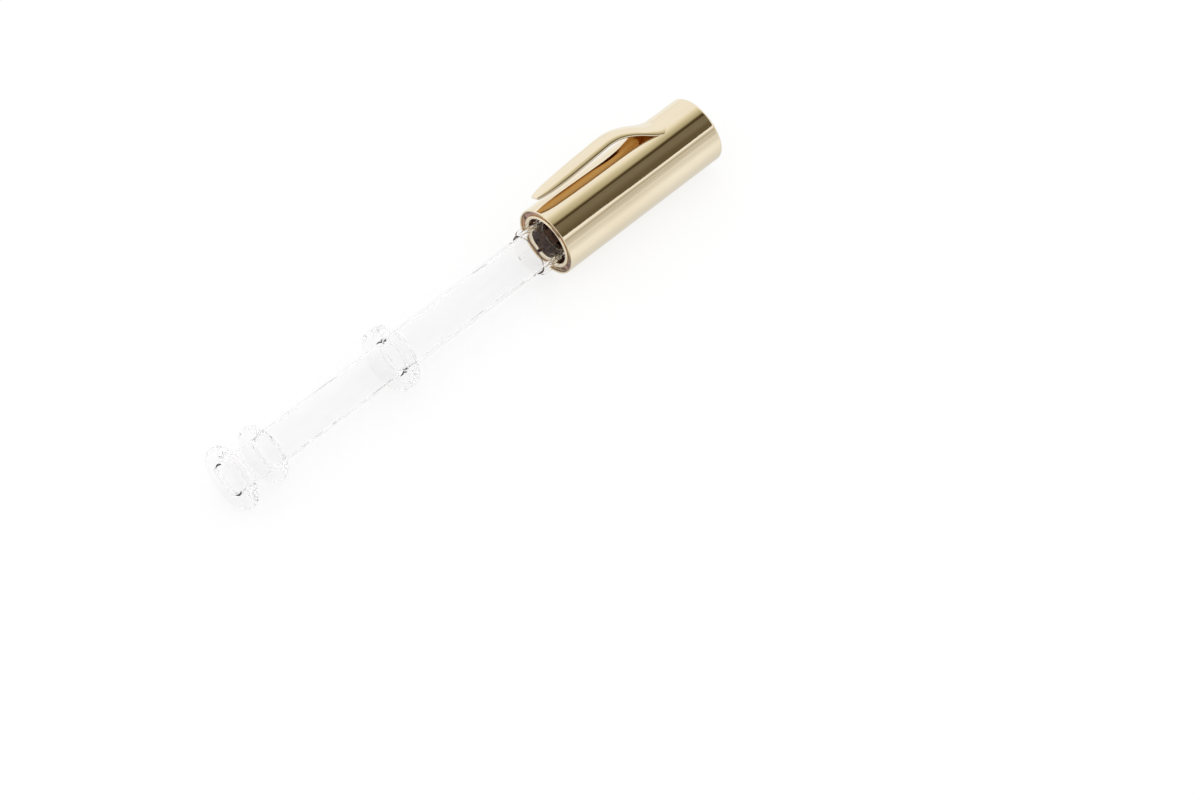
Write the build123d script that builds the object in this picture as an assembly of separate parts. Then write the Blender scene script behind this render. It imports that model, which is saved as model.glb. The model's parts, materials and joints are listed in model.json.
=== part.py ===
from build123d import *
import os

# Pen-style holder for a chewing stick: a clear two-piece tube and a plated cap with a pocket clip.
# Millimetres. The tool lies along +X with +Z up. The origin is the centre of the tube's open end,
# flush with the foot flange's face, and the cap is at the +X end, on the tube's finned guide.

# Stick bore and clear tubes
BORE_R = 4.3
LOWER_TUBE_R = 4.85
UPPER_TUBE_R = 5.2
UPPER_TUBE_END = 112.6
TUBE_END_CHAMFER = 0.15

# Foot flange, at the open end
FOOT_R = 9.0
FOOT_T = 2.2
FOOT_DISH_R = 7.5
FOOT_DISH_DEPTH = 0.9
FOOT_DISH_SLOPE = 0.3
FOOT_HUB_LENGTH = 4.6
FOOT_HUB_WALL = 0.45
FOOT_HUB_FLARE = 0.8
FOOT_EDGE = 0.4

# Grip ring, on the lower tube
RING_R = 8.1
RING_START = 10.6
RING_T = 2.8
RING_EDGE = 0.8

# Collar that joins the two tubes
COLLAR_R = 8.85
COLLAR_START = 53.4
COLLAR_T = 4.5
COLLAR_EDGE = 0.9
SHOULDER_R = 7.5
SHOULDER_T = 0.6
TUBE_SEAT_DEPTH = 1.5
PUSH_FIT_CLEARANCE = 0.05
TUBE_BUTT_GAP = 0.1

# Finned guide at the upper tube's end
GUIDE_LENGTH = 9.6
GUIDE_WALL = 0.55
GUIDE_LIP = 0.5
FIN_TIP_R = 6.5
FIN_T = 0.9
FIN_COUNT = 4
FIN_TURN_DEG = -8.0
FIN_LEAD = 0.9
FIN_NOSE_DROP = 0.5
FIN_TAIL_DROP = 0.9
FIN_ROOT_DEPTH = 0.2

# Cap
CAP_MOUTH_X = 109.5
CAP_LENGTH = 53.6
CAP_MOUTH_R = 9.5
CAP_END_R = 9.2
CAP_BORE_R = 8.35
CAP_LIP_R = 6.65
CAP_LIP_T = 2.0
CAP_LIP_INNER_EDGE = 0.6
CAP_RIM_EDGE = 0.25
RIM_GROOVE_INNER_R = 7.7
RIM_GROOVE_OUTER_R = 9.05
RIM_GROOVE_DEPTH = 1.1
CAP_END_EDGE = 0.8
END_DISC_T = 0.9
END_DISC_R = 7.6

# Liner inside the cap
LINER_R = 7.8
LINER_RIB_R = 7.5
LINER_RIB_W = 1.1
LINER_RIB_COUNT = 8
LINER_ROOT_DEPTH = 0.1

# Pocket clip: it stands CLIP_TURN_DEG from +Z towards +Y
CLIP_TURN_DEG = 30.0
CLIP_GAP_AT_ROOT = 0.1
CLIP_THICKNESS = 1.0
CLIP_EDGE_THICKNESS = 0.8
# Each station: distance from the cap's mouth, crown height, half width, how far the edges drop
CLIP_STATIONS = [
    (1.9, 12.75, 1.35, 0.25),
    (2.8, 12.90, 2.00, 0.40),
    (5.0, 13.25, 2.60, 0.60),
    (10.5, 13.70, 3.15, 0.75),
    (17.0, 14.10, 3.30, 0.80),
    (24.0, 14.50, 3.30, 0.80),
    (27.5, 14.55, 3.30, 0.80),
    (31.0, 14.00, 3.45, 0.90),
    (35.0, 12.50, 4.05, 1.25),
    (38.5, 10.70, 4.95, 1.80),
    (41.2, 9.60, 5.85, 2.20),
]

COLLAR_END = COLLAR_START + COLLAR_T
UPPER_TUBE_START = COLLAR_END - TUBE_SEAT_DEPTH
LOWER_TUBE_END = UPPER_TUBE_START - TUBE_BUTT_GAP
GUIDE_END = UPPER_TUBE_END + GUIDE_LIP
CAP_END_X = CAP_MOUTH_X + CAP_LENGTH
LINER_START = CAP_MOUTH_X + CAP_LIP_T
LINER_END = CAP_END_X - END_DISC_T

NEAR = 0.01


def turned(outline):
    """A solid of revolution about X from (x, radius) corners."""
    face = make_face(Polyline(*outline, close=True))
    return revolve(face, Axis.X, 360)


def sleeve(start, end, inner, outer):
    """A plain tube along X."""
    return turned([(start, inner), (end, inner), (end, outer), (start, outer)])


def rim_edges(shape, x, radius):
    """The round edges of one radius that lie at one place along X."""
    found = []
    for edge in shape.edges().filter_by(GeomType.CIRCLE):
        if abs(edge.center().X - x) < NEAR and abs(edge.radius - radius) < NEAR:
            found.append(edge)
    return found


def make_lower_tube():
    tube = sleeve(0, LOWER_TUBE_END, BORE_R, LOWER_TUBE_R)
    return chamfer(rim_edges(tube, LOWER_TUBE_END, LOWER_TUBE_R), TUBE_END_CHAMFER)


def make_foot_flange():
    """A dished flange with a short hub, bonded round the tube's open end."""
    hub_r = LOWER_TUBE_R + FOOT_HUB_WALL
    flange = turned([
        (0, LOWER_TUBE_R),
        (0, hub_r),
        (FOOT_DISH_DEPTH, hub_r + FOOT_DISH_SLOPE),
        (FOOT_DISH_DEPTH, FOOT_DISH_R),
        (0, FOOT_DISH_R + FOOT_DISH_SLOPE),
        (0, FOOT_R),
        (FOOT_T, FOOT_R),
        (FOOT_T, hub_r + FOOT_HUB_FLARE),
        (FOOT_HUB_LENGTH, hub_r),
        (FOOT_HUB_LENGTH, LOWER_TUBE_R),
    ])
    outer = rim_edges(flange, 0, FOOT_R) + rim_edges(flange, FOOT_T, FOOT_R)
    return fillet(outer, FOOT_EDGE)


def make_grip_ring():
    end = RING_START + RING_T
    ring = sleeve(RING_START, end, LOWER_TUBE_R, RING_R)
    outer = rim_edges(ring, RING_START, RING_R) + rim_edges(ring, end, RING_R)
    return fillet(outer, RING_EDGE)


def make_collar():
    """A ring with a push-fit socket for the lower tube and a seat for the upper one."""
    shoulder_end = COLLAR_END + SHOULDER_T
    socket_r = LOWER_TUBE_R + PUSH_FIT_CLEARANCE
    collar = turned([
        (COLLAR_START, socket_r),
        (UPPER_TUBE_START, socket_r),
        (UPPER_TUBE_START, UPPER_TUBE_R),
        (shoulder_end, UPPER_TUBE_R),
        (shoulder_end, SHOULDER_R),
        (COLLAR_END, SHOULDER_R),
        (COLLAR_END, COLLAR_R),
        (COLLAR_START, COLLAR_R),
    ])
    outer = rim_edges(collar, COLLAR_START, COLLAR_R) + rim_edges(collar, COLLAR_END, COLLAR_R)
    return fillet(outer, COLLAR_EDGE)


def make_upper_tube():
    return sleeve(UPPER_TUBE_START, UPPER_TUBE_END, BORE_R, UPPER_TUBE_R)


def make_fin_guide():
    """A sleeve with lengthwise fins that centre the tube in the cap's mouth."""
    start = GUIDE_END - GUIDE_LENGTH
    sleeve_r = UPPER_TUBE_R + GUIDE_WALL
    guide = turned([
        (start, UPPER_TUBE_R),
        (UPPER_TUBE_END, UPPER_TUBE_R),
        (UPPER_TUBE_END, BORE_R),
        (GUIDE_END, BORE_R),
        (GUIDE_END, sleeve_r),
        (start, sleeve_r),
    ])
    fin_outline = make_face(Polyline(
        (start, sleeve_r - FIN_ROOT_DEPTH),
        (GUIDE_END, sleeve_r - FIN_ROOT_DEPTH),
        (GUIDE_END, FIN_TIP_R - FIN_NOSE_DROP),
        (GUIDE_END - FIN_LEAD, FIN_TIP_R),
        (start + FIN_LEAD, FIN_TIP_R),
        (start, FIN_TIP_R - FIN_TAIL_DROP),
        close=True,
    ))
    fin = extrude(fin_outline, FIN_T / 2, both=True)
    for index in range(FIN_COUNT):
        turn = FIN_TURN_DEG + 45 + index * 360 / FIN_COUNT
        guide += Rot(turn, 0, 0) * fin
    return guide


def make_cap_shell():
    """A slightly tapered tube with a grooved inward lip at the mouth and a step for the disc."""
    seat_x = CAP_END_X - END_DISC_T
    shell = turned([
        (CAP_MOUTH_X, CAP_LIP_R),
        (LINER_START, CAP_LIP_R),
        (LINER_START, CAP_BORE_R),
        (seat_x, CAP_BORE_R),
        (seat_x, END_DISC_R),
        (CAP_END_X, END_DISC_R),
        (CAP_END_X, CAP_END_R),
        (CAP_MOUTH_X, CAP_MOUTH_R),
        (CAP_MOUTH_X, RIM_GROOVE_OUTER_R),
        (CAP_MOUTH_X + RIM_GROOVE_DEPTH, RIM_GROOVE_OUTER_R),
        (CAP_MOUTH_X + RIM_GROOVE_DEPTH, RIM_GROOVE_INNER_R),
        (CAP_MOUTH_X, RIM_GROOVE_INNER_R),
    ])
    shell = fillet(rim_edges(shell, CAP_END_X, CAP_END_R), CAP_END_EDGE)
    shell = fillet(rim_edges(shell, CAP_MOUTH_X, CAP_MOUTH_R), CAP_RIM_EDGE)
    return fillet(rim_edges(shell, CAP_MOUTH_X, CAP_LIP_R), CAP_LIP_INNER_EDGE)


def make_cap_liner():
    """A thin sleeve with lengthwise ribs, from the mouth's lip to the end disc."""
    liner = sleeve(LINER_START, LINER_END, LINER_R, CAP_BORE_R)
    rib_length = LINER_END - LINER_START
    rib_depth = LINER_R + LINER_ROOT_DEPTH - LINER_RIB_R
    rib = Box(rib_length, rib_depth, LINER_RIB_W)
    rib = Pos((LINER_START + LINER_END) / 2, LINER_RIB_R + rib_depth / 2, 0) * rib
    for index in range(LINER_RIB_COUNT):
        liner += Rot(index * 360 / LINER_RIB_COUNT, 0, 0) * rib
    return liner


def make_end_disc():
    """The disc that closes the cap's far end, flush with the shell."""
    disc = Cylinder(END_DISC_R, END_DISC_T)
    return Pos(CAP_END_X - END_DISC_T / 2, 0, 0) * Rot(0, 90, 0) * disc


def clip_section(station):
    """One crescent across the clip, in a plane square to X, before the clip is turned."""
    along, crown, half_width, drop = station
    x = CAP_MOUTH_X + along
    edge = crown - drop
    outer = ThreePointArc((x, -half_width, edge), (x, 0, crown), (x, half_width, edge))
    inner = ThreePointArc(
        (x, half_width, edge - CLIP_EDGE_THICKNESS),
        (x, 0, crown - CLIP_THICKNESS),
        (x, -half_width, edge - CLIP_EDGE_THICKNESS),
    )
    near = Line(outer @ 1, inner @ 0)
    far = Line(inner @ 1, outer @ 0)
    return Face(Wire([outer, near, inner, far]))


def make_pocket_clip():
    """A sprung blade that arches over the cap and spreads onto it at the root."""
    sections = [clip_section(station) for station in CLIP_STATIONS]
    blade = loft(sections)
    clearance = turned([
        (CAP_MOUTH_X, 0),
        (CAP_END_X, 0),
        (CAP_END_X, CAP_END_R + CLIP_GAP_AT_ROOT),
        (CAP_MOUTH_X, CAP_MOUTH_R + CLIP_GAP_AT_ROOT),
    ])
    return Rot(-CLIP_TURN_DEG, 0, 0) * (blade - clearance)


NODES = {
    "foot_flange": make_foot_flange,
    "grip_ring": make_grip_ring,
    "lower_tube": make_lower_tube,
    "collar": make_collar,
    "upper_tube": make_upper_tube,
    "fin_guide": make_fin_guide,
    "cap_shell": make_cap_shell,
    "cap_liner": make_cap_liner,
    "cap_end_disc": make_end_disc,
    "pocket_clip": make_pocket_clip,
}

os.makedirs("parts", exist_ok=True)
for name, make in NODES.items():
    export_step(make(), f"parts/{name}.step")
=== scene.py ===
import json
import math

import bmesh
import bpy
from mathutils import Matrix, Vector


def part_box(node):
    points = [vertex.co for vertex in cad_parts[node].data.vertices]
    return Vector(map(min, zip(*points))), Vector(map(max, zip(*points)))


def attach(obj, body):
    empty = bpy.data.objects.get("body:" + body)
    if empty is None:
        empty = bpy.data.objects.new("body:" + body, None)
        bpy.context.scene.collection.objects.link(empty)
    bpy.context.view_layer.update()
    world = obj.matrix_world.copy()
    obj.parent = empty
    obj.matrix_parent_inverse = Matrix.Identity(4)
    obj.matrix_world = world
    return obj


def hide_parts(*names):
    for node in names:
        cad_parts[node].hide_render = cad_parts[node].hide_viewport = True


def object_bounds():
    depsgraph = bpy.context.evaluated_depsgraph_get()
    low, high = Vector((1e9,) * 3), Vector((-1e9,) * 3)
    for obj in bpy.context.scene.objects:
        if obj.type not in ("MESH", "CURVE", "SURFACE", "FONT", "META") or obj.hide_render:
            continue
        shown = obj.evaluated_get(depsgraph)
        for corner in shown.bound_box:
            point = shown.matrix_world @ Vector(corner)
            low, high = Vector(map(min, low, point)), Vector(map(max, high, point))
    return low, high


# Pen-style stick holder: a clear two-piece tube and a gold plated cap with a pocket clip. The frame
# is in metres. The tool's own sizes are in millimetres, and become metres where a mesh is made.

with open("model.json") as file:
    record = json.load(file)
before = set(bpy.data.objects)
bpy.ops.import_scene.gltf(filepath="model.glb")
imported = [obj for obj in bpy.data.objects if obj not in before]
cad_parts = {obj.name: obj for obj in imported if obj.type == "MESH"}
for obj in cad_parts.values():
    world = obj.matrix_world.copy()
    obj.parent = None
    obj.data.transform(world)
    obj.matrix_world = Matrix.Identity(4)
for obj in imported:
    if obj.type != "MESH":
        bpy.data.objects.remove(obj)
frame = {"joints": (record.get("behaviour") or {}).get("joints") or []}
cad_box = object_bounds()

MM = 0.001
TURN = 2 * math.pi

# ---------------------------------------------------------------- how finely meshes are divided
SMOOTH_BELOW = math.radians(35)
# A support point lies this many millimetres beyond each end of an outline's arc
SUPPORT = 0.04
ARC_STEPS = 8
ROUND_SEGMENTS = 256
LINER_SEGMENTS = 512
FIN_TIP_STEPS = 6
FIN_ARC_STEPS = 24
CLIP_TIP_STEPS = 6
CLIP_ACROSS_STEPS = 24
CLIP_EDGE_STEPS = 10
# The blade has a ring about every so many millimetres
CLIP_STEP = 0.3

# ---------------------------------------------------------------- sizes, in millimetres
AIR_GAP = 0.03
BORE_R = 4.3
LOWER_TUBE_EDGE = 0.18
UPPER_TUBE_EDGE = 0.15

FOOT_FLANGE_T = 2.2
FOOT_DISH_DEPTH = 0.9
FOOT_RIM_W = 1.5
FOOT_RIM_SLOPE = 0.3
HUB_WALL = 0.45
HUB_SLOPE = 0.3
HUB_FLARE = 0.9
GRIP_EDGE = 0.85

COLLAR_SOCKET_GAP = 0.05
COLLAR_EDGE = 0.95
COLLAR_SHOULDER_T = 0.6
COLLAR_SHOULDER_W = 1.35

GUIDE_WALL = 0.55
FIN_TIP_R = 6.5
FIN_T = 0.9
FIN_COUNT = 4
# The first fin stands this far from +Y towards +Z
FIN_FIRST_DEG = 37.0
# Towards each end: distance from it, and how much lower the fins are there
FIN_LEAD = [(0.0, 0.7), (0.3, 0.35), (0.7, 0.1), (1.2, 0.0)]

CAP_BORE_R = 8.35
CAP_MOUTH_R = 9.5
CAP_END_R = 9.2
CAP_END_EDGE = 0.8
CAP_LIP_R = 6.65
CAP_LIP_T = 2.0
RIM_EDGE = 0.2
RIM_GROOVE_INNER_R = 7.7
RIM_GROOVE_OUTER_R = 9.05
RIM_GROOVE_DEPTH = 1.1
GROOVE_RING_T = 0.22
GROOVE_RING_EDGE = 0.08

LINER_R = 7.8
LINER_RIB_R = 7.5
LINER_RIB_W = 1.1
LINER_RIB_COUNT = 8
# A rib's side slopes over this share of half its width
LINER_RIB_SLOPE = 0.35

DISC_GROOVE_W = 0.12
DISC_RIM_W = 1.0
DISC_RIM_FALL = 0.02
DISC_SLOPE_W = 0.7
DISC_DISH = 0.25
GATE_MARK_R = 1.1
GATE_MARK_SLOPE = 0.3
GATE_MARK_DEPTH = 0.12

CLIP_THICKNESS = 1.0
CLIP_CROWN_POWER = 2.8
CLIP_EDGE_R = 0.42
# The crowned top stops short of the blade's side by this share of the edge's radius
CLIP_EDGE_SHARE = 0.4
CLIP_TIP_ROUND = 0.45
# The blade thins towards its tip by this share of the edge's radius on each face
CLIP_TIP_SHARE = 0.8
# Each station: distance from the cap's mouth, crown height, half width, how far the edges drop
CLIP_STATIONS = [
    (1.9, 12.70, 1.35, 0.30),
    (5.0, 13.25, 2.50, 0.90),
    (10.5, 13.70, 3.05, 1.25),
    (17.0, 14.10, 3.20, 1.30),
    (24.0, 14.45, 3.20, 1.30),
    (27.5, 14.50, 3.20, 1.30),
    (31.0, 13.95, 3.35, 1.35),
    (35.0, 12.40, 3.95, 1.60),
    (38.5, 10.55, 4.85, 1.90),
    (41.2, 9.45, 5.45, 2.00),
    (43.5, 9.05, 5.70, 2.10),
]

# ---------------------------------------------------------------- colours
GOLD_LIGHT = (0.89, 0.79, 0.61)
GOLD_DEEP = (0.85, 0.745, 0.555)
# Painted shade and warm reflection for the clip's underside, which faces the cap
PAINTED_SHADE_AMBER_LIGHT = (0.66, 0.44, 0.20)
PAINTED_SHADE_AMBER_DEEP = (0.40, 0.20, 0.055)
BROWN_LIGHT = (0.45, 0.24, 0.17)
BROWN_DEEP = (0.09, 0.042, 0.030)
CLEAR_BRIGHT = (0.991, 0.990, 0.991)
CLEAR_DULL = (0.975, 0.973, 0.974)
WHITE = (1.0, 1.0, 1.0)
BLACK = (0.0, 0.0, 0.0)
# Lower than the plastic's real index, so that the tube stays nearly invisible on white
CLEAR_IOR = 1.11


# ---------------------------------------------------------------- what the CAD model says
def span(node):
    """Where a CAD node starts and ends along X, in millimetres."""
    low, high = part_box(node)
    return low.x / MM, high.x / MM


def reach(node):
    """A round CAD node's outer radius, in millimetres."""
    low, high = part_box(node)
    return (high.y - low.y) / 2 / MM


LOWER_START, LOWER_END = span("lower_tube")
LOWER_R = reach("lower_tube")
UPPER_START, UPPER_END = span("upper_tube")
UPPER_R = reach("upper_tube")
CAP_START, CAP_END = span("cap_shell")
LINER_END = span("cap_liner")[1]
DISC_START, DISC_END = span("cap_end_disc")
DISC_R = reach("cap_end_disc")


# ---------------------------------------------------------------- mesh helpers
def finish_mesh(name, points, faces):
    """A smooth-shaded object from points in millimetres, with its corners kept sharp."""
    mesh = bpy.data.meshes.new(name)
    mesh.from_pydata([Vector(point) * MM for point in points], [], faces)
    shape = bmesh.new()
    shape.from_mesh(mesh)
    bmesh.ops.remove_doubles(shape, verts=shape.verts, dist=1e-7)
    bmesh.ops.recalc_face_normals(shape, faces=shape.faces)
    shape.to_mesh(mesh)
    shape.free()
    mesh.shade_smooth()
    mesh.set_sharp_from_angle(angle=SMOOTH_BELOW)
    piece = bpy.data.objects.new(name, mesh)
    bpy.context.scene.collection.objects.link(piece)
    return piece


def rounded(corners):
    """A closed outline from (x, radius, rounding) corners, each turned into an arc.

    A support point beside each arc keeps the straight runs' shading flat."""
    outline = []
    for index, (x, radius, rounding) in enumerate(corners):
        here = Vector((x, radius))
        if not rounding:
            outline.append(here)
            continue
        back = (Vector(corners[index - 1][:2]) - here).normalized()
        ahead = (Vector(corners[(index + 1) % len(corners)][:2]) - here).normalized()
        half = back.angle(ahead) / 2
        setback = rounding / math.tan(half)
        centre = here + (back + ahead).normalized() * rounding / math.sin(half)
        start = here + back * setback - centre
        stop = here + ahead * setback - centre
        first = math.atan2(start.y, start.x)
        sweep = (math.atan2(stop.y, stop.x) - first + math.pi) % TURN - math.pi
        outline.append(here + back * (setback + SUPPORT))
        for step in range(ARC_STEPS + 1):
            angle = first + sweep * step / ARC_STEPS
            outline.append(centre + rounding * Vector((math.cos(angle), math.sin(angle))))
        outline.append(here + ahead * (setback + SUPPORT))
    return outline


def lathe(name, corners):
    """A solid of revolution about X from (x, radius, rounding) corners."""
    outline = rounded(corners)
    count = len(outline)
    points = []
    faces = []
    for segment in range(ROUND_SEGMENTS):
        angle = TURN * segment / ROUND_SEGMENTS
        across = (segment + 1) % ROUND_SEGMENTS
        for index, (x, radius) in enumerate(outline):
            points.append((x, radius * math.cos(angle), radius * math.sin(angle)))
            following = (index + 1) % count
            faces.append((
                segment * count + index,
                segment * count + following,
                across * count + following,
                across * count + index,
            ))
    return finish_mesh(name, points, faces)


def sleeve(name, start, end, inner, outer, rounding):
    """A plain tube along X with its four corners rounded."""
    return lathe(name, [
        (start, inner, rounding),
        (end, inner, rounding),
        (end, outer, rounding),
        (start, outer, rounding),
    ])


def band(row, following_row, count):
    """The faces that join two closed rows, where a mesh lists its points row after row."""
    faces = []
    for index in range(count):
        following = (index + 1) % count
        faces.append((
            row * count + index,
            row * count + following,
            following_row * count + following,
            following_row * count + index,
        ))
    return faces


def loft(name, rings):
    """A closed skin over rings of points, with a flat face at each end."""
    count = len(rings[0])
    points = [point for ring in rings for point in ring]
    faces = []
    for row in range(len(rings) - 1):
        faces += band(row, row + 1, count)
    faces.append(tuple(range(count)))
    faces.append(tuple(range((len(rings) - 1) * count, len(rings) * count)))
    return finish_mesh(name, points, faces)


def extruded_ring(name, stations):
    """A tube of free cross-section: each station is x, an outer loop and an inner loop of (y, z)."""
    count = len(stations[0][1])
    loops = [(x, outer) for x, outer, inner in stations]
    loops += [(x, inner) for x, outer, inner in reversed(stations)]
    points = [(x, y, z) for x, loop in loops for y, z in loop]
    faces = []
    for row in range(len(loops)):
        faces += band(row, (row + 1) % len(loops), count)
    return finish_mesh(name, points, faces)


def polar_point(radius, angle):
    """A (y, z) point at an angle from +Y towards +Z."""
    return radius * math.cos(angle), radius * math.sin(angle)


# ---------------------------------------------------------------- material helpers
class Nodes:
    """A node material with short ways to add the nodes used here."""

    def __init__(self, name):
        self.material = bpy.data.materials.new(name)
        self.material.use_nodes = True
        self.tree = self.material.node_tree
        self.shader = self.tree.nodes["Principled BSDF"]

    def set(self, socket, value):
        """Fixes one of the shader's own values. A colour is given as three numbers."""
        if isinstance(value, tuple):
            value = (*value, 1.0)
        self.shader.inputs[socket].default_value = value

    def feed(self, output, socket):
        """Drives one of the shader's own values from a node."""
        self.tree.links.new(output, self.shader.inputs[socket])

    def coordinates(self, kind):
        """The piece's own coordinates: Object for places and Normal for directions."""
        return self.tree.nodes.new("ShaderNodeTexCoord").outputs[kind]

    def noise(self, scale, detail=2.0, roughness=0.5):
        """Noise at so many cells a metre along X, Y and Z: fewer along X draw it out along the tool."""
        mapping = self.tree.nodes.new("ShaderNodeMapping")
        mapping.inputs["Scale"].default_value = scale
        self.tree.links.new(self.coordinates("Object"), mapping.inputs["Vector"])
        texture = self.tree.nodes.new("ShaderNodeTexNoise")
        texture.inputs["Scale"].default_value = 1.0
        texture.inputs["Detail"].default_value = detail
        texture.inputs["Roughness"].default_value = roughness
        self.tree.links.new(mapping.outputs["Vector"], texture.inputs["Vector"])
        return texture.outputs["Fac"]

    def spread(self, output, low, high, to_low, to_high):
        """The output's range low..high moved onto to_low..to_high."""
        node = self.tree.nodes.new("ShaderNodeMapRange")
        ends = {"From Min": low, "From Max": high, "To Min": to_low, "To Max": to_high}
        for socket, value in ends.items():
            node.inputs[socket].default_value = value
        self.tree.links.new(output, node.inputs["Value"])
        return node.outputs["Result"]

    def ramp(self, output, stops):
        """A colour ramp over (place, colour) stops."""
        node = self.tree.nodes.new("ShaderNodeValToRGB")
        elements = node.color_ramp.elements
        while len(elements) < len(stops):
            elements.new(0.5)
        for element, (place, colour) in zip(elements, stops):
            element.position = place
            element.color = (*colour, 1.0)
        self.tree.links.new(output, node.inputs["Fac"])
        return node.outputs["Color"]

    def facing(self, direction):
        """How far the surface faces a direction in the piece's own space: 1 towards it, -1 away."""
        node = self.tree.nodes.new("ShaderNodeVectorMath")
        node.operation = "DOT_PRODUCT"
        node.inputs[1].default_value = direction
        self.tree.links.new(self.coordinates("Normal"), node.inputs[0])
        return node.outputs["Value"]

    def mix(self, share, first, second):
        """A blend of two colours: the first where share is 0, the second where it is 1."""
        node = self.tree.nodes.new("ShaderNodeMixRGB")
        self.tree.links.new(share, node.inputs["Fac"])
        self.tree.links.new(first, node.inputs["Color1"])
        self.tree.links.new(second, node.inputs["Color2"])
        return node.outputs["Color"]

    def add(self, first, second, second_share):
        """The first output plus a share of the second."""
        node = self.tree.nodes.new("ShaderNodeMath")
        node.operation = "MULTIPLY_ADD"
        node.inputs[1].default_value = second_share
        self.tree.links.new(second, node.inputs[0])
        self.tree.links.new(first, node.inputs[2])
        return node.outputs["Value"]

    def bump(self, height, distance_mm):
        """Relief of the given height, from a node."""
        node = self.tree.nodes.new("ShaderNodeBump")
        node.inputs["Distance"].default_value = distance_mm * MM
        self.tree.links.new(height, node.inputs["Height"])
        self.feed(node.outputs["Normal"], "Normal")


def gold_plating(name, crown_axis=None):
    """Mirror plating over moulded plastic: faint lengthwise flow, smudges and fine rubbing marks.

    With a crown axis, the side that faces away from it is painted deep amber, as painted shade and warm
    reflection from the gap between clip and cap."""
    nodes = Nodes(name)
    nodes.set("Metallic", 1.0)
    tone = nodes.noise((60.0, 160.0, 160.0), detail=3.0)
    colour = nodes.ramp(tone, [(0.3, GOLD_DEEP), (0.7, GOLD_LIGHT)])
    if crown_axis is not None:
        # Painted shade and warm reflection: the side facing away from the crown, towards the cap, turns
        # deep amber
        facing = nodes.facing(crown_axis)
        off_middle = nodes.spread(facing, -1.0, -0.86, 0.0, 1.0)
        painted_underside_shade = nodes.ramp(off_middle, [(0.0, PAINTED_SHADE_AMBER_LIGHT), (0.9, PAINTED_SHADE_AMBER_DEEP)])
        unshaded_share = nodes.spread(facing, -0.84, -0.2, 0.0, 1.0)
        colour = nodes.mix(unshaded_share, painted_underside_shade, colour)
    nodes.feed(colour, "Base Color")
    smudge = nodes.noise((140.0, 300.0, 300.0), detail=4.0, roughness=0.65)
    nodes.feed(nodes.spread(smudge, 0.35, 0.75, 0.045, 0.11), "Roughness")
    flow = nodes.noise((25.0, 420.0, 420.0), detail=1.0)
    grain = nodes.noise((900.0, 2400.0, 2400.0))
    nodes.bump(nodes.add(flow, grain, 0.03), distance_mm=0.05)
    return nodes.material


def brown_liner():
    """Dark glossy moulding with drag marks along its length."""
    nodes = Nodes("brown_liner")
    drag = nodes.noise((30.0, 500.0, 500.0), detail=3.0)
    nodes.feed(nodes.ramp(drag, [(0.42, BROWN_DEEP), (0.6, BROWN_LIGHT)]), "Base Color")
    nodes.feed(nodes.spread(drag, 0.3, 0.7, 0.16, 0.3), "Roughness")
    nodes.bump(drag, distance_mm=0.02)
    return nodes.material


def clear_plastic():
    """Clear moulded plastic: nearly colourless, with a faint ripple left by the mould."""
    nodes = Nodes("clear_plastic")
    nodes.set("Transmission Weight", 1.0)
    nodes.set("IOR", CLEAR_IOR)
    nodes.set("Coat Weight", 0.2)
    nodes.set("Coat IOR", 1.45)
    nodes.set("Coat Roughness", 0.02)
    haze = nodes.noise((120.0, 500.0, 500.0), detail=3.0)
    nodes.feed(nodes.ramp(haze, [(0.3, CLEAR_DULL), (0.7, CLEAR_BRIGHT)]), "Base Color")
    nodes.feed(nodes.spread(haze, 0.4, 0.8, 0.0, 0.06), "Roughness")
    ripple = nodes.noise((60.0, 260.0, 260.0), detail=1.0)
    nodes.bump(ripple, distance_mm=0.008)
    return nodes.material


CLEAR = clear_plastic()
GOLD = gold_plating("gold_plating")
BROWN = brown_liner()


def dress(piece, material, body, node=None):
    """Gives a piece its material and its body, and hides the CAD node that it stands for."""
    piece.data.materials.append(material)
    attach(piece, body)
    if node:
        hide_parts(node)


# ---------------------------------------------------------------- clear tube, lower section
def make_lower_tube():
    tube = sleeve("lower_tube_clear", LOWER_START, LOWER_END, BORE_R, LOWER_R, LOWER_TUBE_EDGE)
    dress(tube, CLEAR, "foot_section", "lower_tube")


def make_foot_flange():
    """A dished flange with a short flared hub round the tube's open end."""
    start, end = span("foot_flange")
    outer = reach("foot_flange")
    bore = LOWER_R + AIR_GAP
    hub = LOWER_R + HUB_WALL
    dish = start + FOOT_DISH_DEPTH
    back = start + FOOT_FLANGE_T
    flange = lathe("foot_flange_clear", [
        (start, bore, 0.1),
        (start, hub, 0.12),
        (dish, hub + HUB_SLOPE, 0.3),
        (dish, outer - FOOT_RIM_W, 0.4),
        (start, outer - FOOT_RIM_W + FOOT_RIM_SLOPE, 0.25),
        (start, outer, 0.35),
        (back, outer, 0.45),
        (back, hub + HUB_FLARE, 0.5),
        (end, hub, 0.15),
        (end, bore, 0.1),
    ])
    dress(flange, CLEAR, "foot_section", "foot_flange")


def make_grip_ring():
    """A thinner ring with well rounded edges, a little way up the tube."""
    start, end = span("grip_ring")
    outer = reach("grip_ring")
    bore = LOWER_R + AIR_GAP
    ring = lathe("grip_ring_clear", [
        (start, bore, 0.1),
        (start, outer, GRIP_EDGE),
        (end, outer, GRIP_EDGE),
        (end, bore, 0.1),
    ])
    dress(ring, CLEAR, "foot_section", "grip_ring")


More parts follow.
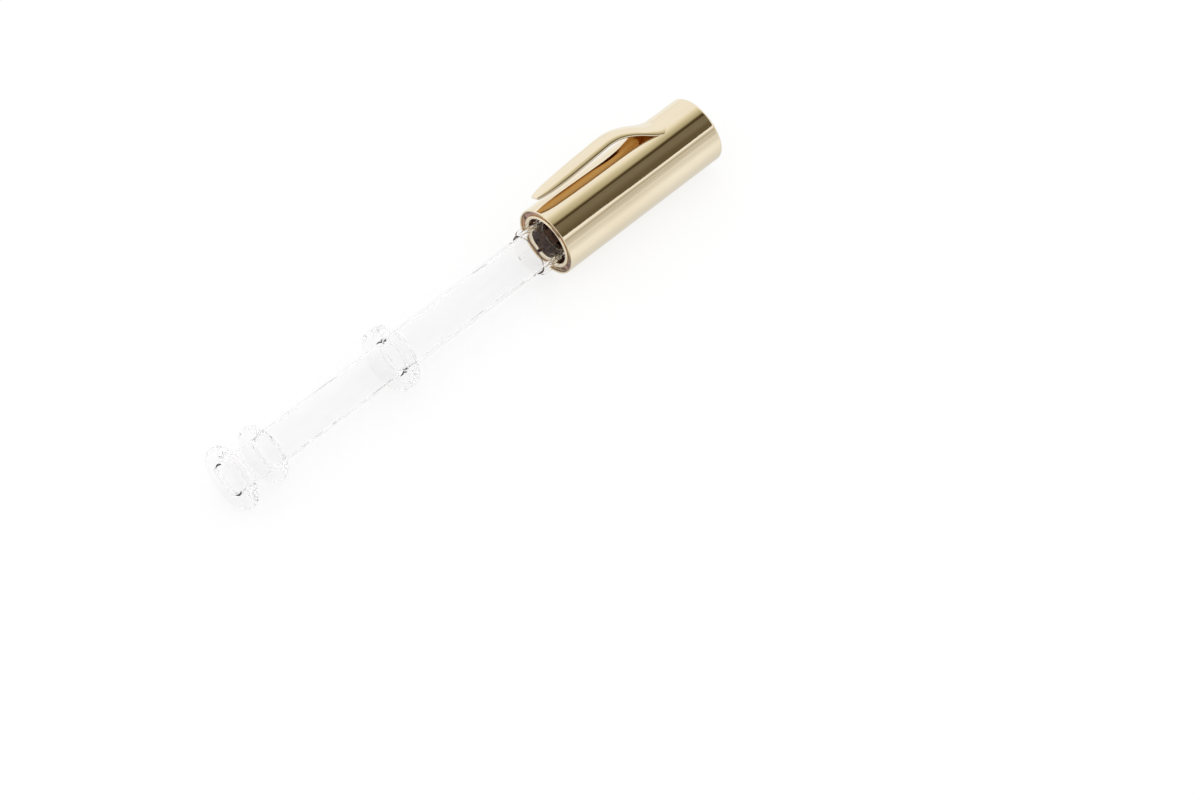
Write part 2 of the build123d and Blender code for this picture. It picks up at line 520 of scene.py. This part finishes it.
# ---------------------------------------------------------------- clear tube, upper section
def make_collar():
    """A rounded ring with a socket for the lower tube, a seat for the upper one and a low shoulder."""
    start, end = span("collar")
    outer = reach("collar")
    shoulder = end - COLLAR_SHOULDER_T
    shoulder_r = outer - COLLAR_SHOULDER_W
    socket = LOWER_R + COLLAR_SOCKET_GAP
    seat = UPPER_R + AIR_GAP
    seat_start = UPPER_START - AIR_GAP
    collar = lathe("collar_clear", [
        (start, socket, 0.15),
        (seat_start, socket, 0.0),
        (seat_start, seat, 0.0),
        (end, seat, 0.1),
        (end, shoulder_r, 0.25),
        (shoulder, shoulder_r, 0.15),
        (shoulder, outer, COLLAR_EDGE),
        (start, outer, COLLAR_EDGE),
    ])
    dress(collar, CLEAR, "barrel", "collar")


def make_upper_tube():
    tube = sleeve("upper_tube_clear", UPPER_START, UPPER_END, BORE_R, UPPER_R, UPPER_TUBE_EDGE)
    dress(tube, CLEAR, "barrel", "upper_tube")


def fin_loop(sleeve_r, tip_r):
    """The guide's outer cross-section: over each fin's tip, then along the arc to the next fin."""
    root = math.asin(FIN_T / 2 / sleeve_r)
    tip = math.asin(FIN_T / 2 / tip_r)
    pitch = TURN / FIN_COUNT
    between = pitch - 2 * root
    loop = []
    for index in range(FIN_COUNT):
        centre = math.radians(FIN_FIRST_DEG) + index * pitch
        for step in range(FIN_TIP_STEPS + 1):
            loop.append(polar_point(tip_r, centre - tip + 2 * tip * step / FIN_TIP_STEPS))
        for step in range(FIN_ARC_STEPS + 1):
            loop.append(polar_point(sleeve_r, centre + root + between * step / FIN_ARC_STEPS))
    return loop


def make_fin_guide():
    """A clear sleeve with lengthwise fins that centre the tube in the cap."""
    start, end = span("fin_guide")
    inner = UPPER_R + AIR_GAP
    outer = UPPER_R + GUIDE_WALL
    places = [(start + along, drop) for along, drop in FIN_LEAD]
    places += [(end - along, drop) for along, drop in reversed(FIN_LEAD)]
    stations = []
    for x, drop in places:
        loop = fin_loop(outer, FIN_TIP_R - drop)
        bore = [(y * inner / math.hypot(y, z), z * inner / math.hypot(y, z)) for y, z in loop]
        stations.append((x, loop, bore))
    guide = extruded_ring("fin_guide_clear", stations)
    dress(guide, CLEAR, "barrel", "fin_guide")


# ---------------------------------------------------------------- cap
def make_cap_shell():
    """A slightly tapered tube with a grooved inward lip at the mouth and a step for the disc."""
    groove_floor = CAP_START + RIM_GROOVE_DEPTH
    lip_end = CAP_START + CAP_LIP_T
    disc_seat = DISC_R + DISC_GROOVE_W
    shell = lathe("cap_shell_plated", [
        (CAP_START, RIM_GROOVE_OUTER_R, RIM_EDGE),
        (groove_floor, RIM_GROOVE_OUTER_R, 0.5),
        (groove_floor, RIM_GROOVE_INNER_R, 0.5),
        (CAP_START, RIM_GROOVE_INNER_R, 0.35),
        (CAP_START, CAP_LIP_R, 0.65),
        (lip_end, CAP_LIP_R, 0.15),
        (lip_end, CAP_BORE_R, 0.0),
        (DISC_START, CAP_BORE_R, 0.0),
        (DISC_START, disc_seat, 0.0),
        (CAP_END, disc_seat, 0.12),
        (CAP_END, CAP_END_R, CAP_END_EDGE),
        (CAP_START, CAP_MOUTH_R, RIM_EDGE),
    ])
    dress(shell, GOLD, "cap", "cap_shell")


def make_rim_groove_ring():
    """The thin ring on the floor of the groove in the cap's mouth: brown like the liner, and put there
    to darken the groove as painted shade.
    """
    end = CAP_START + RIM_GROOVE_DEPTH - AIR_GAP
    inner = RIM_GROOVE_INNER_R + AIR_GAP
    outer = RIM_GROOVE_OUTER_R - AIR_GAP
    # Painted shade: a dark brown ring that darkens the groove's floor
    ring = sleeve("rim_groove_shade_ring", end - GROOVE_RING_T, end, inner, outer, GROOVE_RING_EDGE)
    dress(ring, BROWN, "cap")


def make_cap_liner():
    """A thin dark sleeve with lengthwise ribs on its inside."""
    start = CAP_START + CAP_LIP_T + AIR_GAP
    rib_half = math.asin(LINER_RIB_W / 2 / LINER_RIB_R)
    slope = rib_half * LINER_RIB_SLOPE
    pitch = TURN / LINER_RIB_COUNT
    outer = []
    inner = []
    for index in range(LINER_SEGMENTS):
        angle = TURN * index / LINER_SEGMENTS
        off_rib = abs((angle + pitch / 2) % pitch - pitch / 2)
        rise = min(1.0, max(0.0, (rib_half + slope - off_rib) / slope))
        outer.append(polar_point(CAP_BORE_R - AIR_GAP, angle))
        inner.append(polar_point(LINER_R - (LINER_R - LINER_RIB_R) * rise, angle))
    liner = extruded_ring("cap_liner_ribbed", [(start, outer, inner), (LINER_END, outer, inner)])
    dress(liner, BROWN, "cap", "cap_liner")


def make_end_disc():
    """The far end's disc: a fine groove round it, a shallow dish and a small gate mark."""
    rim = DISC_R - DISC_RIM_W
    dish = DISC_END - DISC_DISH
    gate_mark = dish - GATE_MARK_DEPTH
    disc = lathe("cap_end_disc_plated", [
        (DISC_START, 0.0, 0.0),
        (DISC_START, DISC_R, 0.1),
        (DISC_END, DISC_R, 0.15),
        (DISC_END - DISC_RIM_FALL, rim, 0.3),
        (dish, rim - DISC_SLOPE_W, 0.5),
        (dish, GATE_MARK_R, 0.2),
        (gate_mark, GATE_MARK_R - GATE_MARK_SLOPE, 0.1),
        (gate_mark, 0.0, 0.0),
    ])
    dress(disc, GOLD, "cap", "cap_end_disc")


# ---------------------------------------------------------------- pocket clip
def clip_shape(along):
    """Crown height, half width and edge drop at a distance from the mouth, on a smooth curve."""
    last = len(CLIP_STATIONS) - 1
    index = 0
    while index < last - 1 and CLIP_STATIONS[index + 1][0] < along:
        index += 1
    left = CLIP_STATIONS[index]
    right = CLIP_STATIONS[index + 1]
    before = CLIP_STATIONS[max(index - 1, 0)]
    after = CLIP_STATIONS[min(index + 2, last)]
    length = right[0] - left[0]
    share = (along - left[0]) / length
    found = []
    for field in (1, 2, 3):
        slope_left = (right[field] - before[field]) / (right[0] - before[0]) * length
        slope_right = (after[field] - left[field]) / (after[0] - left[0]) * length
        found.append(
            left[field] * (2 * share**3 - 3 * share**2 + 1)
            + slope_left * (share**3 - 2 * share**2 + share)
            + right[field] * (3 * share**2 - 2 * share**3)
            + slope_right * (share**3 - share**2)
        )
    return found


def clip_section(along, inset, crown_axis, width_axis):
    """One ring round the blade: crowned top, rounded edges that run on from it, hollowed underside."""
    crown, half_width, drop = clip_shape(along)
    top_half = half_width - CLIP_EDGE_R * CLIP_EDGE_SHARE

    def top(side):
        return crown - drop * (abs(side) / half_width) ** CLIP_CROWN_POWER

    slope = CLIP_CROWN_POWER * drop / half_width * (top_half / half_width) ** (CLIP_CROWN_POWER - 1)
    lean = math.atan(slope)
    edge_side = top_half - CLIP_EDGE_R * math.sin(lean)
    edge_height = top(top_half) - CLIP_EDGE_R * math.cos(lean)
    edge_r = CLIP_EDGE_R - inset
    hollow = crown - CLIP_THICKNESS
    low = edge_height - CLIP_EDGE_R

    section = []
    for step in range(CLIP_ACROSS_STEPS + 1):
        side = top_half * (2 * step / CLIP_ACROSS_STEPS - 1)
        section.append((side, top(side) - inset))
    for step in range(1, CLIP_EDGE_STEPS):
        angle = lean + (math.pi - lean) * step / CLIP_EDGE_STEPS
        section.append((edge_side + edge_r * math.sin(angle), edge_height + edge_r * math.cos(angle)))
    for step in range(CLIP_ACROSS_STEPS + 1):
        side = edge_side * (1 - 2 * step / CLIP_ACROSS_STEPS)
        section.append((side, hollow - (hollow - low) * (side / edge_side) ** 2 + inset))
    for step in range(1, CLIP_EDGE_STEPS):
        angle = math.pi - (math.pi - lean) * step / CLIP_EDGE_STEPS
        section.append((-edge_side - edge_r * math.sin(angle), edge_height + edge_r * math.cos(angle)))
    middle = Vector((CAP_START + along, 0, 0))
    return [middle + width_axis * side + crown_axis * height for side, height in section]


def make_pocket_clip():
    """A sprung blade that arches over the cap and spreads into it at the root."""
    hinge = next(joint for joint in frame["joints"] if joint["name"] == "clip_flex")
    width_axis = Vector(hinge["axis"]).normalized()
    crown_axis = width_axis.cross(Vector((-1, 0, 0)))
    tip = CLIP_STATIONS[0][0]
    root = CLIP_STATIONS[-1][0]
    blade = tip + CLIP_TIP_ROUND
    rings = []
    for step in range(CLIP_TIP_STEPS):
        angle = math.pi / 2 * step / CLIP_TIP_STEPS
        inset = CLIP_EDGE_R * CLIP_TIP_SHARE * (1 - math.sin(angle))
        along = tip + CLIP_TIP_ROUND * (1 - math.cos(angle))
        rings.append(clip_section(along, inset, crown_axis, width_axis))
    blade_steps = round((root - blade) / CLIP_STEP)
    for step in range(blade_steps + 1):
        along = blade + (root - blade) * step / blade_steps
        rings.append(clip_section(along, 0.0, crown_axis, width_axis))
    clip = loft("pocket_clip_plated", rings)
    plating = gold_plating("gold_plating_clip_painted_shade", crown_axis)
    dress(clip, plating, "clip", "pocket_clip")


make_lower_tube()
make_foot_flange()
make_grip_ring()
make_collar()
make_upper_tube()
make_fin_guide()
make_cap_shell()
make_rim_groove_ring()
make_cap_liner()
make_end_disc()
make_pocket_clip()


# ---------------------------------------------------------------- floor, cards and light, in metres
FLOOR_Z = cad_box[0][2]
FLOOR_HALF = 6.0
REFLECTED_FLOOR_RISE = 0.0001
FLAG_X = (-1.3, 1.0)
FLAG_Z = 0.5
ROOM_X = -1.0
ROOM_Z = (0.04, 0.45)
HORIZON_X = (-0.9, 3.0)
HORIZON_Y = -1.5

# Each grade lists (place along one axis, colour of the glow there)
FLAG_GRADE = [
    (-0.61, (0.120, 0.092, 0.049)),
    (-0.40, (0.135, 0.105, 0.060)),
    (-0.22, (0.200, 0.170, 0.115)),
    (-0.10, (0.190, 0.160, 0.110)),
    (-0.065, (0.055, 0.037, 0.014)),
    (-0.024, (0.100, 0.072, 0.035)),
    (0.02, (0.45, 0.41, 0.28)),
    (0.11, (0.62, 0.58, 0.43)),
    (0.23, (0.92, 0.88, 0.76)),
    (0.34, WHITE),
]
# Painted shadow: the floor that reflections see darkens under the tool, where its shadow falls
REFLECTED_FLOOR_PAINTED_SHADOW_GRADE = [
    (-1.5, (0.77, 0.76, 0.74)),
    (-0.35, (0.77, 0.76, 0.74)),
    (-0.078, (0.86, 0.855, 0.84)),
    (-0.039, WHITE),
    (-0.025, (0.97, 0.97, 0.96)),
    (-0.016, (0.90, 0.90, 0.89)),
    (-0.0095, (0.72, 0.72, 0.71)),
    (0.0095, (0.72, 0.72, 0.71)),
    (0.016, (0.90, 0.90, 0.89)),
    (0.025, (0.97, 0.97, 0.96)),
    (0.039, WHITE),
    (0.35, (0.92, 0.92, 0.90)),
    (1.5, (0.88, 0.88, 0.86)),
]
ROOM_GRADE = [
    (-1.1, WHITE),
    (-0.8, (0.40, 0.31, 0.29)),
    (-0.2, (0.26, 0.17, 0.155)),
    (0.1, (0.45, 0.37, 0.35)),
    (0.5, WHITE),
]
HORIZON_GRADE = [
    (0.0, (0.77, 0.76, 0.74)),
    (0.14, (0.86, 0.85, 0.82)),
    (0.25, (0.60, 0.58, 0.54)),
    (0.33, (0.76, 0.74, 0.70)),
    (0.45, (0.56, 0.53, 0.48)),
    (0.58, (0.72, 0.69, 0.63)),
    (0.70, (0.50, 0.46, 0.40)),
    (0.84, (0.58, 0.54, 0.47)),
    (0.94, (0.94, 0.92, 0.88)),
    (1.0, WHITE),
]


def make_card(name, corners, material):
    """A flat four-cornered sheet that is part of the set."""
    mesh = bpy.data.meshes.new(name)
    mesh.from_pydata(corners, [], [(0, 1, 2, 3)])
    mesh.materials.append(material)
    card = bpy.data.objects.new(name, mesh)
    bpy.context.scene.collection.objects.link(card)
    return card


def level(x_range, y_range, z):
    """The corners of a level rectangle."""
    left, right = x_range
    front, back = y_range
    return [(left, front, z), (right, front, z), (right, back, z), (left, back, z)]


def extent(grade):
    """The first and last place of a grade."""
    return grade[0][0], grade[-1][0]


def graded(name, axis, grade):
    """A black material whose glow changes along one axis."""
    nodes = Nodes(name)
    split = nodes.tree.nodes.new("ShaderNodeSeparateXYZ")
    nodes.tree.links.new(nodes.coordinates("Object"), split.inputs["Vector"])
    first, last = extent(grade)
    share = nodes.spread(split.outputs[axis], first, last, 0.0, 1.0)
    stops = [((place - first) / (last - first), colour) for place, colour in grade]
    nodes.feed(nodes.ramp(share, stops), "Emission Color")
    nodes.set("Emission Strength", 1.0)
    nodes.set("Base Color", BLACK)
    nodes.set("Specular IOR Level", 0.0)
    return nodes.material


def make_reflected_card(name, corners, axis, grade):
    """A graded card that only reflections see."""
    card = make_card(name, corners, graded(name, axis, grade))
    card.visible_camera = False
    card.visible_diffuse = False
    card.visible_transmission = False
    card.visible_volume_scatter = False
    card.visible_shadow = False


def make_floor():
    """White paper that glows, so that the tool's shadow on it stays faint."""
    nodes = Nodes("paper")
    nodes.set("Base Color", (0.28, 0.28, 0.28))
    nodes.set("Roughness", 1.0)
    nodes.set("Specular IOR Level", 0.0)
    nodes.set("Emission Color", WHITE)
    nodes.set("Emission Strength", 0.74)
    side = (-FLOOR_HALF, FLOOR_HALF)
    make_card("floor", level(side, side, FLOOR_Z), nodes.material)


def make_reflected_floor():
    """What the plating sees of the floor, with the tool's shadow painted in: greyer under the tool, and
    greyer far away from it.
    """
    side = extent(REFLECTED_FLOOR_PAINTED_SHADOW_GRADE)
    corners = level(side, side, FLOOR_Z + REFLECTED_FLOOR_RISE)
    make_reflected_card("reflected_floor_painted_shadow", corners, "Y", REFLECTED_FLOOR_PAINTED_SHADOW_GRADE)


def make_overhead_flag():
    """The dark band along the top of the cap, which pales away from the camera."""
    corners = level(FLAG_X, extent(FLAG_GRADE), FLAG_Z)
    make_reflected_card("overhead_flag", corners, "Y", FLAG_GRADE)


def make_room():
    """Dim surroundings beyond the open foot, which the cap's mouth mirrors."""
    front, back = extent(ROOM_GRADE)
    low, high = ROOM_Z
    corners = [
        (ROOM_X, front, low),
        (ROOM_X, back, low),
        (ROOM_X, back, high),
        (ROOM_X, front, high),
    ]
    make_reflected_card("room_beyond_mouth", corners, "Y", ROOM_GRADE)


def make_horizon():
    """Streaky greys on the camera's side, between the floor and the flag."""
    left, right = HORIZON_X
    low, high = extent(HORIZON_GRADE)
    corners = [
        (left, HORIZON_Y, low),
        (right, HORIZON_Y, low),
        (right, HORIZON_Y, high),
        (left, HORIZON_Y, high),
    ]
    make_reflected_card("horizon", corners, "Z", HORIZON_GRADE)


def make_world():
    """An even white surround, and enough bounces for light to pass through the clear pieces."""
    world = bpy.data.worlds.new("studio")
    world.use_nodes = True
    background = world.node_tree.nodes["Background"]
    background.inputs["Color"].default_value = (*WHITE, 1.0)
    background.inputs["Strength"].default_value = 1.0
    scene = bpy.context.scene
    scene.world = world
    scene.view_settings.view_transform = "Standard"
    scene.cycles.max_bounces = 32
    scene.cycles.glossy_bounces = 24
    scene.cycles.transmission_bounces = 24
    scene.cycles.diffuse_bounces = 4


# ---------------------------------------------------------------- camera, in metres
CAMERA_ELEVATION = math.radians(51.8)
CAMERA_HEADING = math.radians(46.0)
LENS_MM = 400.0
SENSOR_MM = 36.0
FRAME_WIDTH = 0.303
# The middle of the frame lies this far right of the cap's mouth, and this far below it
FRAME_RIGHT = 0.01373
FRAME_DOWN = 0.03984
SIGHT_LIMIT = 100.0


def make_camera():
    """A long lens that looks down on the tool, which lies in the upper left of the frame."""
    heading = Vector((math.cos(CAMERA_HEADING), math.sin(CAMERA_HEADING), 0))
    look = heading * math.cos(CAMERA_ELEVATION) - Vector((0, 0, math.sin(CAMERA_ELEVATION)))
    right = look.cross(Vector((0, 0, 1))).normalized()
    up = right.cross(look)
    mouth = Vector((CAP_START * MM, 0, 0))
    middle = mouth + right * FRAME_RIGHT - up * FRAME_DOWN
    data = bpy.data.cameras.new("camera")
    data.lens = LENS_MM
    data.sensor_width = SENSOR_MM
    data.clip_end = SIGHT_LIMIT
    camera = bpy.data.objects.new("camera", data)
    bpy.context.scene.collection.objects.link(camera)
    camera.location = middle - look * FRAME_WIDTH * LENS_MM / SENSOR_MM
    camera.rotation_euler = look.to_track_quat("-Z", "Y").to_euler()
    bpy.context.scene.camera = camera


make_floor()
make_reflected_floor()
make_overhead_flag()
make_world()
make_room()
make_horizon()
make_camera()
